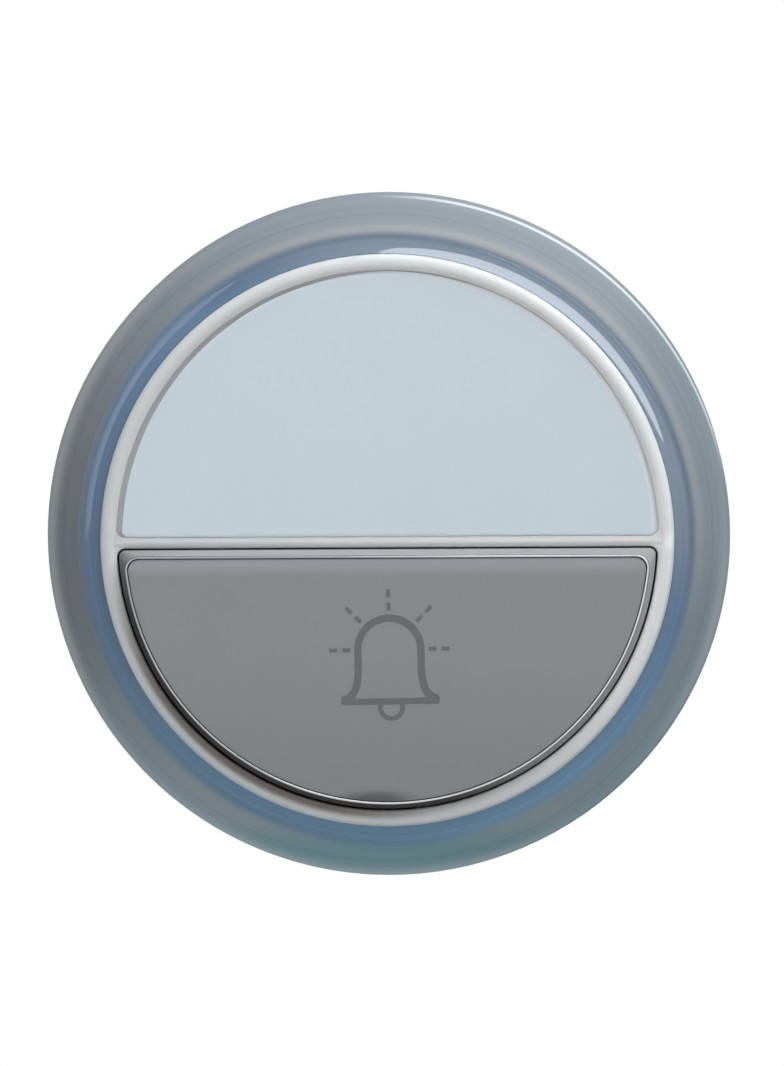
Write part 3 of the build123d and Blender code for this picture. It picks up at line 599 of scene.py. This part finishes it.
def finishPush():
    finish, tree, shader, skin = plasticFinish("pushGrey", push)
    masks = placeMasks(
        tree, push, grimeSide=axisFade, beadFoot=axisFade, beadTop=axisFade, dullSide=axisFade
    )
    top = masks["beadTop"]
    worn = objectNoise(tree, push["dullScale"], push["dullDetail"], -7, 5)
    # worn patches plus painted shade on the bead's upper left
    patchy = joinMasks(tree, worn, masks["dullSide"], -6, 5, "ADD")
    dull = remap(tree, patchy, push["dullSpan"], -5, 5)
    bead = twoTone(tree, dull, push["bead"], push["dull"], -4, 5)
    # painted shade low on the left
    colour = tintOver(tree, skin.outputs["Colour"], masks["grimeSide"], push["grime"], -4, 1)
    # painted shade along the bead's foot
    colour = tintOver(tree, colour, masks["beadFoot"], push["line"], -3, 1)
    colour = layOver(tree, colour, top, bead, -2, 1)
    gloss = tintOver(tree, skin.outputs["Roughness"], top, push["beadRoughness"], -2, 3)
    tree.links.new(colour, shader.inputs["Base Color"])
    tree.links.new(gloss, shader.inputs["Roughness"])
    tree.links.new(top, shader.inputs["Metallic"])
    dress("button_cap", finish)


finishPush()

# Face of the push: satin grey, with a painted reflection making it lighter and cooler along its
# top edge, painted shade making it darker low down, and a patch of painted shade and a faint mark
# near its lower edge
face = {
    "skin": {
        "Colour": (0.28, 0.298, 0.302, 1),
        "Deeper": (0.26, 0.278, 0.282, 1),
        "Cloud Scale": 60.0,
        "Grain Scale": 2200.0,
        "Gloss Low": 0.32,
        "Gloss High": 0.42,
    },
    "grainDepth": 0.003 * mm,
    "shine": 0.4,
    # painted reflection: the face is lighter and cooler along its top edge
    "cool": (0.375, 0.40, 0.415, 1),
    "coolFade": {"Direction": (0, 0, 1), "From": -4.2 * mm, "To": -2.0 * mm},
    # painted shade: the face is darker low down
    "low": (0.24, 0.256, 0.26, 1),
    "lowFade": {"Direction": (0, 0, -1), "From": 12 * mm, "To": 28 * mm},
    # painted shade: a dark patch just inside the bead at the bottom
    "smudge": (0.10, 0.102, 0.105, 1),
    "smudgeSpot": {
        "Middle": (-1.5 * mm, -17.4 * mm, -30.1 * mm),
        "Reach": (6.0 * mm, 1 * mm, 1.5 * mm),
    },
    "mark": (0.225, 0.235, 0.238, 1),
    "markSpot": {
        "Middle": (-6.2 * mm, -17.4 * mm, -27.7 * mm),
        "Reach": (1.1 * mm, 1 * mm, 0.3 * mm),
    },
}


def finishFace():
    finish, tree, shader, skin = plasticFinish("faceGrey", face)
    masks = placeMasks(
        tree, face, lowFade=axisFade, coolFade=axisFade, smudgeSpot=spotFade, markSpot=spotFade
    )
    # painted shade low down
    colour = tintOver(tree, skin.outputs["Colour"], masks["lowFade"], face["low"], -5, 1)
    # painted reflection along the top edge
    colour = tintOver(tree, colour, masks["coolFade"], face["cool"], -4, 1)
    # painted shade near the lower edge
    colour = tintOver(tree, colour, masks["smudgeSpot"], face["smudge"], -3, 1)
    colour = tintOver(tree, colour, masks["markSpot"], face["mark"], -2, 1)
    tree.links.new(colour, shader.inputs["Base Color"])
    dress("button_face", finish)


finishFace()
print("front finishes ready")

# Chassis, wall plate and the seal between them: plain mouldings
chassis = {
    "skin": {
        "Colour": (0.52, 0.53, 0.53, 1),
        "Deeper": (0.48, 0.49, 0.49, 1),
        "Cloud Scale": 70.0,
        "Grain Scale": 1800.0,
        "Gloss Low": 0.4,
        "Gloss High": 0.55,
    },
    "grainDepth": 0.006 * mm,
}
dress("chassis", plasticFinish("chassisGrey", chassis)[0])

wallPlate = {
    "skin": {
        "Colour": (0.66, 0.67, 0.66, 1),
        "Deeper": (0.62, 0.63, 0.62, 1),
        "Cloud Scale": 60.0,
        "Grain Scale": 1500.0,
        "Gloss Low": 0.42,
        "Gloss High": 0.58,
    },
    "grainDepth": 0.008 * mm,
}
dress("back_plate", plasticFinish("plateWhite", wallPlate)[0])

rimSeal = {
    "skin": {
        "Colour": (0.028, 0.028, 0.03, 1),
        "Deeper": (0.018, 0.018, 0.02, 1),
        "Cloud Scale": 150.0,
        "Grain Scale": 3000.0,
        "Gloss Low": 0.6,
        "Gloss High": 0.75,
    },
    "grainDepth": 0.01 * mm,
}
dress("rim_seal", plasticFinish("sealBlack", rimSeal)[0])

# Circuit board: green resist with raised tracks, bare laminate along the cut edge
board = {
    "skin": {
        "Colour": (0.02, 0.16, 0.07, 1),
        "Deeper": (0.015, 0.13, 0.055, 1),
        "Cloud Scale": 200.0,
        "Grain Scale": 4000.0,
        "Gloss Low": 0.25,
        "Gloss High": 0.35,
    },
    "grainDepth": 0.005 * mm,
    "track": (0.05, 0.27, 0.12, 1),
    "trackRows": {"offset": 0.37, "squash": 1.7, "squash_frequency": 3},
    "trackLines": {"Scale": 260.0, "Mortar_Size": 0.05, "Mortar_Smooth": 0.1, "Brick_Width": 1.6},
    "laminate": (0.52, 0.48, 0.30, 1),
    "laminateEdge": {"Inner": 34.3 * mm, "Outer": 34.38 * mm},
}


def finishBoard():
    finish, tree, shader, skin = plasticFinish("boardGreen", board)
    masks = placeMasks(tree, board, laminateEdge=radialFade)
    place = addNode(tree, "ShaderNodeTexCoord", -7, 3)
    turn = addNode(tree, "ShaderNodeMapping", -6, 3)
    turn.inputs["Rotation"].default_value = (math.pi / 2, 0, 0)  # into the board's plane
    tracks = addNode(tree, "ShaderNodeTexBrick", -5, 3, **board["trackRows"])
    setInputs(tracks, **board["trackLines"])
    tree.links.new(place.outputs["Object"], turn.inputs["Vector"])
    tree.links.new(turn.outputs["Vector"], tracks.inputs["Vector"])
    colour = tintOver(tree, skin.outputs["Colour"], tracks.outputs["Fac"], board["track"], -3, 1)
    colour = tintOver(tree, colour, masks["laminateEdge"], board["laminate"], -2, 1)
    tree.links.new(colour, shader.inputs["Base Color"])
    bump = shader.inputs["Normal"].links[0].from_node  # the tracks take the grain's place
    tree.links.new(tracks.outputs["Fac"], bump.inputs["Height"])
    dress("circuit_board", finish)


finishBoard()

# Switch body and plunger: black moulding
switchBlack = {
    "skin": {
        "Colour": (0.03, 0.03, 0.032, 1),
        "Deeper": (0.02, 0.02, 0.022, 1),
        "Cloud Scale": 500.0,
        "Grain Scale": 6000.0,
        "Gloss Low": 0.35,
        "Gloss High": 0.5,
    },
    "grainDepth": 0.004 * mm,
}
switchFinish = plasticFinish("switchBlack", switchBlack)[0]
for name in ("switch_base", "switch_plunger"):
    dress(name, switchFinish)

# Pressed and drawn metal
spring = {
    "drawn": {
        "Colour": (0.62, 0.61, 0.58, 1),
        "Deeper": (0.50, 0.49, 0.47, 1),
        "Stretch": (0.2, 2.0, 4.0),
        "Gloss Low": 0.22,
        "Gloss High": 0.38,
    },
    "lineDepth": 0.003 * mm,
}
springFinish = metalFinish("springSteel", spring)
for name in ("switch_frame", "switch_legs", "cell_clip", "cell_contact"):
    dress(name, springFinish)

can = {
    "drawn": {
        "Colour": (0.70, 0.69, 0.66, 1),
        "Deeper": (0.58, 0.57, 0.55, 1),
        "Stretch": (1.5, 0.4, 3.0),
        "Gloss Low": 0.16,
        "Gloss High": 0.30,
    },
    "lineDepth": 0.002 * mm,
}
dress("crystal_can", metalFinish("canNickel", can))

cell = {
    "drawn": {
        "Colour": (0.66, 0.66, 0.65, 1),
        "Deeper": (0.54, 0.54, 0.53, 1),
        "Stretch": (3.0, 1.0, 0.3),
        "Gloss Low": 0.14,
        "Gloss High": 0.26,
    },
    "lineDepth": 0.002 * mm,
}
dress("coin_cell", metalFinish("cellSteel", cell))

screwSteel = {
    "drawn": {
        "Colour": (0.55, 0.55, 0.56, 1),
        "Deeper": (0.40, 0.40, 0.42, 1),
        "Stretch": (2.0, 0.5, 2.0),
        "Gloss Low": 0.2,
        "Gloss High": 0.36,
    },
    "lineDepth": 0.004 * mm,
}
dress("board_screws", metalFinish("screwSteel", screwSteel))

wire = {
    "drawn": {
        "Colour": (0.72, 0.34, 0.17, 1),
        "Deeper": (0.56, 0.25, 0.12, 1),
        "Stretch": (0.4, 3.0, 0.4),
        "Gloss Low": 0.2,
        "Gloss High": 0.34,
    },
    "lineDepth": 0.002 * mm,
}
dress("loop_antenna", metalFinish("copperWire", wire))

# LEDs: white case, yellow lens on top
led = {
    "skin": {
        "Colour": (0.74, 0.74, 0.72, 1),
        "Deeper": (0.68, 0.68, 0.66, 1),
        "Cloud Scale": 600.0,
        "Grain Scale": 7000.0,
        "Gloss Low": 0.3,
        "Gloss High": 0.42,
    },
    "grainDepth": 0.003 * mm,
    "lens": (0.78, 0.62, 0.12, 1),
    "lensTop": {"Direction": (0, -1, 0), "From": 8.49 * mm, "To": 8.53 * mm},
}


def finishLeds():
    finish, tree, shader, skin = plasticFinish("ledWhite", led)
    masks = placeMasks(tree, led, lensTop=axisFade)
    colour = tintOver(tree, skin.outputs["Colour"], masks["lensTop"], led["lens"], -2, 1)
    tree.links.new(colour, shader.inputs["Base Color"])
    dress("halo_leds", finish)


finishLeds()

# Radio chip: black epoxy, tinned legs above and below the body
chip = {
    "skin": {
        "Colour": (0.026, 0.026, 0.028, 1),
        "Deeper": (0.018, 0.018, 0.02, 1),
        "Cloud Scale": 500.0,
        "Grain Scale": 7000.0,
        "Gloss Low": 0.45,
        "Gloss High": 0.6,
    },
    "grainDepth": 0.005 * mm,
    "tin": (0.68, 0.68, 0.67, 1),
    "above": {"Direction": (0, 0, 1), "From": 11.0 * mm, "To": 11.03 * mm},
    "below": {"Direction": (0, 0, -1), "From": -7.0 * mm, "To": -6.97 * mm},
}


def finishChip():
    finish, tree, shader, skin = plasticFinish("chipBlack", chip)
    masks = placeMasks(tree, chip, above=axisFade, below=axisFade)
    legs = joinMasks(tree, masks["above"], masks["below"], -8, 0, "MAXIMUM")
    colour = tintOver(tree, skin.outputs["Colour"], legs, chip["tin"], -2, 1)
    tree.links.new(colour, shader.inputs["Base Color"])
    tree.links.new(legs, shader.inputs["Metallic"])
    dress("radio_chip", finish)


finishChip()

# Small chip parts: tan bodies with tinned ends
small = {
    "skin": {
        "Colour": (0.36, 0.23, 0.12, 1),
        "Deeper": (0.30, 0.19, 0.10, 1),
        "Cloud Scale": 900.0,
        "Grain Scale": 8000.0,
        "Gloss Low": 0.35,
        "Gloss High": 0.5,
    },
    "grainDepth": 0.003 * mm,
    "tin": (0.68, 0.68, 0.67, 1),
    "pitch": 3.6 * mm,  # from one part to the next
    "end": (0.6 * mm, 0.64 * mm),  # where the tin starts, from a part's middle
}


def finishSmall():
    finish, tree, shader, skin = plasticFinish("chipTan", small)
    place = addNode(tree, "ShaderNodeTexCoord", -8, 2)
    split = addNode(tree, "ShaderNodeSeparateXYZ", -7, 2)
    fold = addNode(tree, "ShaderNodeMath", -6, 2, operation="PINGPONG")
    fold.inputs[1].default_value = small["pitch"] / 2
    tree.links.new(place.outputs["Object"], split.inputs[0])
    tree.links.new(split.outputs["X"], fold.inputs[0])
    ends = remap(tree, fold.outputs[0], small["end"], -5, 2)
    colour = tintOver(tree, skin.outputs["Colour"], ends, small["tin"], -2, 1)
    tree.links.new(colour, shader.inputs["Base Color"])
    tree.links.new(ends, shader.inputs["Metallic"])
    dress("chip_parts", finish)


finishSmall()
print("inner finishes ready")


def addObject(name, data):
    thing = bpy.data.objects.new(name, data)
    bpy.context.collection.objects.link(thing)
    return thing


def addPiece(name, work, finish):
    mesh = bpy.data.meshes.new(name)
    work.to_mesh(mesh)
    work.free()
    mesh.materials.append(finish)
    return addObject(name, mesh)


# Rubber boot over the switch, in place of the CAD seal
boot = {
    "profile": [
        (0, 12.95),
        (2.2, 12.95),
        (5.4, 11.8),
        (7.05, 11.8),
        (7.24, 11.6),
        (7.24, 11.2),
        (5.04, 11.2),
        (2.2, 11.95),
        (0, 11.95),
    ],  # radius and depth in mm
    "height": -13 * mm,
    "segments": 64,
    "weld": 0.0001 * mm,
    "foot": -11.2 * mm,
    "keep": 0.77,  # of its height at full press
    "skin": {
        "Colour": (0.30, 0.30, 0.31, 1),
        "Deeper": (0.26, 0.26, 0.27, 1),
        "Cloud Scale": 250.0,
        "Grain Scale": 3500.0,
        "Gloss Low": 0.5,
        "Gloss High": 0.65,
    },
    "grainDepth": 0.008 * mm,
}


def addBoot():
    work = bmesh.new()
    spots = [
        work.verts.new((radius * mm, -depth * mm, boot["height"]))
        for radius, depth in boot["profile"]
    ]
    edges = [work.edges.new(pair) for pair in zip(spots, spots[1:])]
    bmesh.ops.spin(
        work,
        geom=spots + edges,
        cent=(0, 0, boot["height"]),
        axis=(0, 1, 0),
        angle=2 * math.pi,
        steps=boot["segments"],
        use_merge=True,
    )
    bmesh.ops.remove_doubles(work, verts=work.verts[:], dist=boot["weld"])
    bmesh.ops.recalc_face_normals(work, faces=work.faces[:])
    rubber = addPiece("switch_boot", work, plasticFinish("bootGrey", boot)[0])
    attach(rubber, "housing")
    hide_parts("switch_seal")
    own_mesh(rubber)


addBoot()
print("boot ready")

# Bell sign printed on the face: dome, clapper and five broken rays
bell = {
    "middle": (0.22, -12.5),  # centre of the dome's arc
    "tilt": 0.85,  # degrees
    "outer": 4.09,
    "inner": 3.25,
    "straight": 2.1,
    "flareOuter": [(4.09, -4.1), (4.55, -5.05), (5.4, -5.33)],
    "flareInner": [(3.27, -4.1), (3.62, -4.9), (4.22, -5.69)],
    "foot": [(5.62, -5.42), (5.73, -5.6), (5.73, -6.2), (5.66, -6.36), (5.5, -6.42)],
    "clapper": (0.1, -6.75),
    "clapperOuter": 1.57,
    "clapperInner": 1.03,
    "rays": [(4.56, 5.5), (6.06, 7.03)],
    "rayAngles": (0, 45, 90, 135, 180),
    "rayWidth": 0.44,
    "rayRound": 0.12,
    "roundSteps": 4,
    "ink": 0.02 * mm,
    "steps": 20,
    "seam": 1e-6,  # nearer the middle line a point isn't doubled
    "skin": {
        "Colour": (0.14, 0.15, 0.153, 1),
        "Deeper": (0.12, 0.13, 0.133, 1),
        "Cloud Scale": 400.0,
        "Grain Scale": 6000.0,
        "Gloss Low": 0.4,
        "Gloss High": 0.55,
    },
    "grainDepth": 0.002 * mm,
}


def arcRun(middle, radius, start, end, steps):
    turns = [math.radians(start + (end - start) * i / steps) for i in range(steps + 1)]
    return [(middle[0] + radius * math.cos(a), middle[1] + radius * math.sin(a)) for a in turns]


def curveRun(a, b, c, d, steps):
    run = []
    for i in range(1, steps + 1):
        s = i / steps
        weights = ((1 - s) ** 3, 3 * s * (1 - s) ** 2, 3 * s * s * (1 - s), s**3)
        run.append(tuple(sum(w * q[k] for w, q in zip(weights, (a, b, c, d))) for k in (0, 1)))
    return run


def mirrored(half):  # right half first, then back up the left
    return half + [(-x, z) for x, z in reversed(half) if abs(x) > bell["seam"]]


def bellShapes():  # each shape is an outline and its holes, in mm about the dome's centre
    steps = bell["steps"]
    shoulder = -bell["straight"]
    outer = arcRun((0, 0), bell["outer"], 90, 0, steps) + [(bell["outer"], shoulder)]
    outer += curveRun((bell["outer"], shoulder), *bell["flareOuter"], steps) + bell["foot"]
    inner = arcRun((0, 0), bell["inner"], 90, 0, steps) + [(bell["inner"], shoulder)]
    inner += curveRun((bell["inner"], shoulder), *bell["flareInner"], steps)
    shapes = [[mirrored(outer), mirrored(inner)]]
    drop = bell["foot"][-1][1] - bell["clapper"][1]  # the rim covers the top of the clapper
    ends = [math.degrees(math.asin(drop / r)) for r in (bell["clapperOuter"], bell["clapperInner"])]
    swing = arcRun(bell["clapper"], bell["clapperOuter"], ends[0], -180 - ends[0], steps)
    swing += arcRun(bell["clapper"], bell["clapperInner"], -180 - ends[1], ends[1], steps)
    shapes.append([swing])
    half, soft = bell["rayWidth"] / 2, bell["rayRound"]
    for angle in bell["rayAngles"]:
        c, s = math.cos(math.radians(angle)), math.sin(math.radians(angle))
        for near, far in bell["rays"]:
            corners = ((far, half, 0), (near, half, 90), (near, -half, 180), (far, -half, 270))
            dash = []
            for x, w, start in corners:
                inset = (x - soft if x == far else x + soft, w - math.copysign(soft, w))
                dash += arcRun(inset, soft, start, start + 90, bell["roundSteps"])
            shapes.append([[(x * c - w * s, x * s + w * c) for x, w in dash]])
    return shapes


def addBell():
    work = bmesh.new()
    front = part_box("button_face")[0].y
    turn = math.radians(bell["tilt"])
    for loops in bellShapes():
        edges = []
        for loop in loops:
            spots = []
            for x, z in loop:
                across = bell["middle"][0] + x * math.cos(turn) - z * math.sin(turn)
                up = bell["middle"][1] + x * math.sin(turn) + z * math.cos(turn)
                spots.append(work.verts.new((across * mm, front, up * mm)))
            edges += [work.edges.new((a, b)) for a, b in zip(spots, spots[1:] + spots[:1])]
        bmesh.ops.triangle_fill(work, use_beauty=True, edges=edges, normal=(0, -1, 0))
    raised = bmesh.ops.extrude_face_region(work, geom=work.faces[:])
    lifted = [v for v in raised["geom"] if isinstance(v, bmesh.types.BMVert)]
    bmesh.ops.translate(work, verts=lifted, vec=(0, -bell["ink"], 0))
    bmesh.ops.recalc_face_normals(work, faces=work.faces[:])
    sign = addPiece("bell_sign", work, plasticFinish("bellInk", bell)[0])
    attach(sign, "button")


addBell()
print("bell sign printed")

# Camera: long lens, square on but a little high and to the right
view = {
    "aim": (0.33 * mm, -5.8 * mm, 0.1 * mm),
    "distance": 900 * mm,
    "rise": 4.8,  # this, yaw and roll in degrees
    "yaw": 1.4,
    "roll": -0.4,
    "frameHeight": 125.35 * mm,
    "sensor": 36.0,
}


def addCamera():
    rise, yaw = math.radians(view["rise"]), math.radians(view["yaw"])
    away = Vector((math.sin(yaw) * math.cos(rise), -math.cos(yaw) * math.cos(rise), math.sin(rise)))
    lens = bpy.data.cameras.new("frontCamera")
    lens.sensor_width = view["sensor"]
    lens.lens = view["sensor"] * view["distance"] / view["frameHeight"]
    camera = addObject("frontCamera", lens)
    turn = (-away).to_track_quat("-Z", "Y").to_matrix().to_4x4()
    spot = Matrix.Translation(Vector(view["aim"]) + away * view["distance"])
    camera.matrix_world = spot @ turn @ Matrix.Rotation(math.radians(view["roll"]), 4, "Z")
    bpy.context.scene.camera = camera


addCamera()

# Soft studio light: a wide box high on the right, an oval that shows in the cove, a small box near
# the lens, a weak fill from the left and one for the back
lampDistance = 1.0
lamps = {
    "keyBox": {"azimuth": 62, "polar": 69, "size": (1.25, 0.55), "watts": 14.5},
    "coveOval": {
        "azimuth": 56,
        "polar": 35,
        "size": (0.95, 0.32),
        "watts": 1.47,
        "spin": -9,
        "shape": "ELLIPSE",
    },
    "lensBox": {"azimuth": 162, "polar": 24, "size": (0.42, 0.18), "watts": 0.45},
    "leftFill": {"azimuth": 190, "polar": 78, "size": (1.0, 0.6), "watts": 2.3},
    "backFill": {"azimuth": 90, "polar": 145, "size": (1.0, 0.7), "watts": 4.5},
}


def addLamps():  # azimuth goes round the push as seen from the front, polar away from its axis
    for name, lamp in lamps.items():
        azimuth, polar = math.radians(lamp["azimuth"]), math.radians(lamp["polar"])
        sideways = Vector((math.cos(azimuth), 0, math.sin(azimuth)))
        around = Vector((-math.sin(azimuth), 0, math.cos(azimuth)))
        out = sideways * math.sin(polar) - Vector((0, math.cos(polar), 0))
        light = bpy.data.lights.new(name, "AREA")
        light.shape = lamp.get("shape", "RECTANGLE")
        light.size, light.size_y = lamp["size"]
        light.energy = lamp["watts"]
        turn = Matrix((around, out.cross(around), out)).transposed().to_4x4()
        spin = Matrix.Rotation(math.radians(lamp.get("spin", 0)), 4, "Z")
        spot = Matrix.Translation(out * lampDistance)
        addObject(name, light).matrix_world = spot @ turn @ spin


addLamps()

# White surroundings, and a pale floor well below that lights the push from underneath
room = {
    "white": (1, 1, 1, 1),
    "backdrop": 1.0,
    "ambient": 0.06,
    "floor": (0.82, 0.82, 0.81, 1),
    "floorWorn": (0.78, 0.78, 0.77, 1),
    "floorDrop": 300 * mm,
    "floorReach": 450 * mm,
    "floorSegments": 96,
    "floorRoughness": 0.8,
    "fibreScale": 40.0,
    "fibreDetail": 3.0,
}


def addRoom():
    world = bpy.data.worlds.new("whiteRoom")
    bpy.context.scene.world = world
    world.use_nodes = True
    tree = world.node_tree
    sky = tree.nodes["Background"]
    rays = addNode(tree, "ShaderNodeLightPath", -4).outputs
    seen = joinMasks(tree, rays["Is Camera Ray"], rays["Is Glossy Ray"], -3, 0, "MAXIMUM")
    seen = joinMasks(tree, seen, rays["Is Transmission Ray"], -2, 0, "MAXIMUM")
    level = remap(tree, seen, (0, 1), -1, 0, room["ambient"], room["backdrop"])
    tree.links.new(level, sky.inputs["Strength"])
    setInputs(sky, Color=room["white"])


def addFloor():
    finish, tree, shader = newFinish("paperFloor")
    fibre = objectNoise(tree, room["fibreScale"], room["fibreDetail"], -3, 0)
    paper = twoTone(tree, fibre, room["floor"], room["floorWorn"], -2, 0)
    tree.links.new(paper, shader.inputs["Base Color"])
    setInputs(shader, Roughness=room["floorRoughness"])
    work = bmesh.new()
    sides, reach = room["floorSegments"], room["floorReach"]
    bmesh.ops.create_circle(work, cap_ends=True, segments=sides, radius=reach)
    ground = addPiece("studio_floor", work, finish)
    ground.location.z = -room["floorDrop"]


addRoom()
addFloor()
bpy.context.scene.view_settings.view_transform = "Standard"
print("camera, lamps and room ready")
